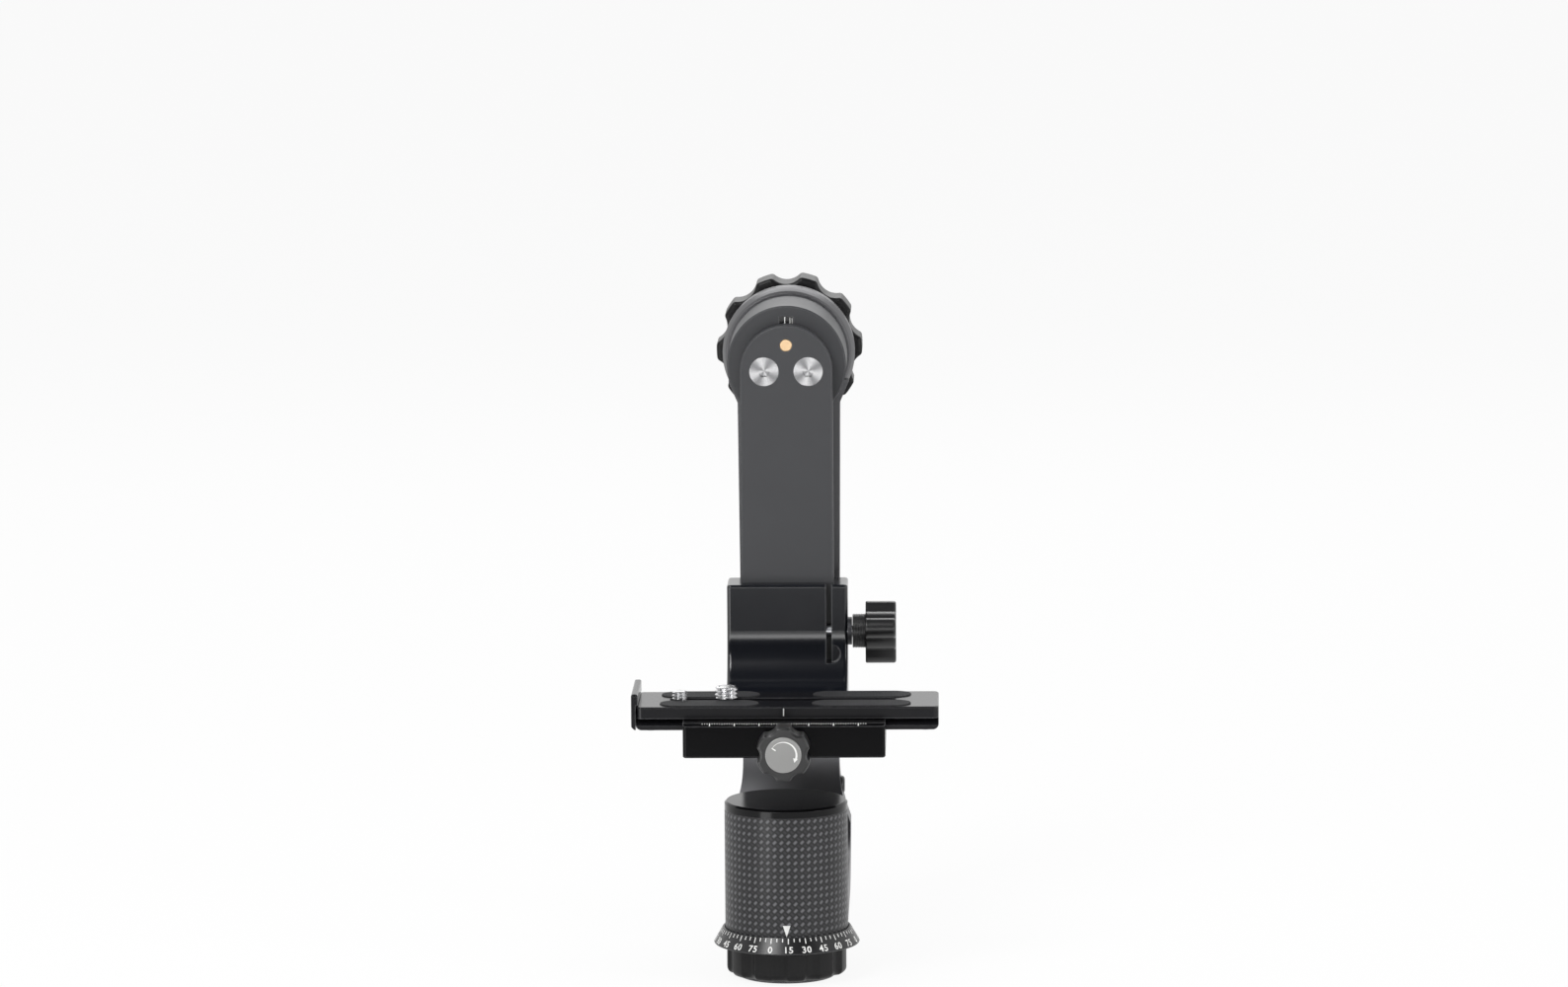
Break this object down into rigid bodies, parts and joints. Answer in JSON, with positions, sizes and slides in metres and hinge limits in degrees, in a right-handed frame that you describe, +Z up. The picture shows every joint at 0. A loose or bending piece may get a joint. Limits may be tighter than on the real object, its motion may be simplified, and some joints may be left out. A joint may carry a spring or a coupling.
{
  "type": "gimbal tripod head",
  "caption": "Two-axis gimbal head for a long lens: panning turret, upright arm with tilt bearing, swinging arm and a sliding bracket with a dovetail clamp and lens plate.",
  "frame": {"origin": "on the pan axis, at the mouth of the tripod socket in the base's underside", "axes": "+Z up along the pan axis, +X to the right along the lens plate, +Y to the rear along the tilt axis"},
  "size_m": [0.1244, 0.184, 0.2729],
  "materials": {
    "steel": "fine turned",
    "steel_plate": "blackened, satin",
    "bright_steel": "polished, turned",
    "bearing_steel": "ground",
    "spring_steel": "sprung, oiled",
    "screw_black": "black oxide",
    "brass": "turned, satin",
    "arm_black": "satin black anodised",
    "block_black": "semi-gloss black anodised",
    "clamp_black": "gloss black anodised",
    "plate_black": "satin black anodised",
    "ring_black": "satin black anodised with white scale",
    "cap_gloss": "gloss black anodised, bare",
    "index_black": "gloss black with white lines",
    "carbon": "woven carbon under clear lacquer",
    "rubber_black": "soft matte",
    "pad_rubber": "fine textured grip",
    "plastic_black": "fine moulded grain",
    "silver_cap": "turned silver with white arrow"
  },
  "bodies": {
    "base": {"thread_insert": "steel", "mount_disc": "steel_plate", "disc_screws": "steel", "spindle": "steel", "lock_pins": "steel", "brake_ring": "brass", "degree_ring": "ring_black", "pan_spacer": "steel", "preload_washer": "steel", "spindle_nut": "steel"},
    "pan_knob": {"pan_lock_knob": "rubber_black"},
    "turret": {"pan_bearing_lower": "bearing_steel", "pan_bearing_upper": "bearing_steel", "upright_arm": "arm_black", "foot_screws": "screw_black", "pan_housing": "arm_black", "carbon_sleeve": "carbon", "top_cap": "cap_gloss", "side_plug": "plastic_black", "tilt_housing": "arm_black", "housing_screws": "screw_black", "tilt_bearing_front": "bearing_steel", "tilt_bearing_rear": "bearing_steel", "tilt_brake_washer": "brass", "tilt_index": "index_black"},
    "swing": {"tilt_shaft": "steel", "tilt_spacer": "steel", "swing_arm": "arm_black", "arm_screws": "bright_steel", "locating_pin": "brass", "arm_stop_screw": "screw_black"},
    "lock_knob": {"tilt_knob": "rubber_black", "tilt_knob_insert": "brass", "tilt_knob_cap": "plastic_black"},
    "bracket": {"bracket": "block_black", "height_washer": "steel", "clamp_body": "clamp_black", "clamp_bolts": "screw_black", "guide_pins": "steel", "jaw_springs": "spring_steel"},
    "height_knob": {"height_screw": "steel", "height_knob": "plastic_black"},
    "jaw": {"clamp_jaw": "clamp_black", "clamp_washer": "steel"},
    "clamp_knob": {"clamp_screw": "steel", "clamp_knob": "plastic_black", "clamp_knob_cap": "silver_cap"},
    "plate": {"lens_plate": "plate_black", "grip_pads": "pad_rubber", "end_stop": "plate_black", "end_stop_screws": "screw_black", "stop_pegs": "steel"},
    "washer_left": {"screw_washer_left": "steel"},
    "washer_right": {"screw_washer_right": "steel"},
    "screw_left": {"lens_screw_left": "bright_steel"},
    "screw_right": {"lens_screw_right": "bright_steel", "stud_bush": "bright_steel"}
  },
  "joints": [
    {"name": "pan_lock_turn", "type": "hinge", "parent": "base", "child": "pan_knob", "pos_m": [0, 0, 0], "axis": [0, 0, 1], "range_deg": [0, 180]},
    {"name": "pan_turn", "type": "hinge", "parent": "base", "child": "turret", "pos_m": [0, 0, 0], "axis": [0, 0, 1], "continuous": true},
    {"name": "tilt_swing", "type": "hinge", "parent": "turret", "child": "swing", "pos_m": [0, 0.06, 0.2429], "axis": [0, 1, 0], "continuous": true},
    {"name": "tilt_lock_turn", "type": "hinge", "parent": "swing", "child": "lock_knob", "pos_m": [0, 0.13, 0.2429], "axis": [0, 1, 0], "range_deg": [0, 360]},
    {"name": "bracket_height", "type": "slide", "parent": "swing", "child": "bracket", "axis": [0, 0, 1], "range_m": [0, 0.05]},
    {"name": "height_lock_turn", "type": "hinge", "parent": "bracket", "child": "height_knob", "pos_m": [0.0249, 0.05142, 0.1338], "axis": [1, 0, 0], "range_deg": [0, 360]},
    {"name": "jaw_opening", "type": "slide", "parent": "bracket", "child": "jaw", "axis": [0, -1, 0], "range_m": [0, 0.0032]},
    {"name": "clamp_knob_turn", "type": "hinge", "parent": "jaw", "child": "clamp_knob", "pos_m": [0, -0.03, 0.0982], "axis": [0, -1, 0], "range_deg": [0, 1440]},
    {"name": "plate_shift", "type": "slide", "parent": "bracket", "child": "plate", "axis": [1, 0, 0], "range_m": [-0.0135, 0.0113]},
    {"name": "left_screw_shift", "type": "slide", "parent": "plate", "child": "washer_left", "axis": [1, 0, 0], "range_m": [-0.0007, 0.003]},
    {"name": "right_screw_shift", "type": "slide", "parent": "plate", "child": "washer_right", "axis": [1, 0, 0], "range_m": [-0.002, 0.064]},
    {"name": "left_screw_turn", "type": "hinge", "parent": "washer_left", "child": "screw_left", "pos_m": [-0.0429, 0, 0.1139], "axis": [0, 0, 1], "continuous": true},
    {"name": "right_screw_turn", "type": "hinge", "parent": "washer_right", "child": "screw_right", "pos_m": [-0.0239, 0, 0.1139], "axis": [0, 0, 1], "continuous": true}
  ],
  "couplings": [
    {"joint": "clamp_knob_turn", "follows": "jaw_opening", "rad_per_m": 7853.9}
  ]
}
